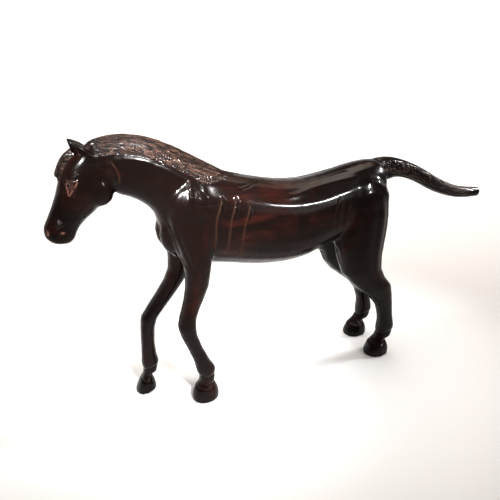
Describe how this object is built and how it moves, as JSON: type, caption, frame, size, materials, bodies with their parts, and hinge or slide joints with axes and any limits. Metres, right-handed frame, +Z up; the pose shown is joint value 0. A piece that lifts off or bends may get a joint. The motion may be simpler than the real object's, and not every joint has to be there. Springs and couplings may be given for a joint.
{
  "type": "carved wooden horse figurine",
  "caption": "Walking horse figurine in polished dark hardwood, with carved mane and ribs, a raised straight tail and glued, dowelled legs.",
  "frame": {"origin": "on the ground, under the middle of the figure's bounding box", "axes": "+X from the nose to the tail, +Y to the horse's right, +Z up"},
  "size_m": [0.4562, 0.067, 0.2479],
  "materials": {
    "dark_hardwood": "near-black brown hardwood with reddish streaks, polished and waxed to a gloss",
    "eye_bead": "black hardwood bead, polished to a high gloss",
    "dowel_wood": "plain unpolished dowel rod, hidden in the glued joints"
  },
  "bodies": {
    "root": {"torso": "dark_hardwood", "head_neck": "dark_hardwood", "front_left_leg": "dark_hardwood", "front_right_leg": "dark_hardwood", "hind_left_leg": "dark_hardwood", "hind_right_leg": "dark_hardwood", "tail": "dark_hardwood", "left_ear": "dark_hardwood", "right_ear": "dark_hardwood", "left_eye": "eye_bead", "right_eye": "eye_bead", "neck_dowel_upper": "dowel_wood", "neck_dowel_lower": "dowel_wood", "tail_dowel": "dowel_wood", "front_left_dowel_upper": "dowel_wood", "front_left_dowel_lower": "dowel_wood", "front_right_dowel_upper": "dowel_wood", "front_right_dowel_lower": "dowel_wood", "hind_left_dowel_upper": "dowel_wood", "hind_left_dowel_lower": "dowel_wood", "hind_right_dowel_upper": "dowel_wood", "hind_right_dowel_lower": "dowel_wood"}
  },
  "joints": []
}
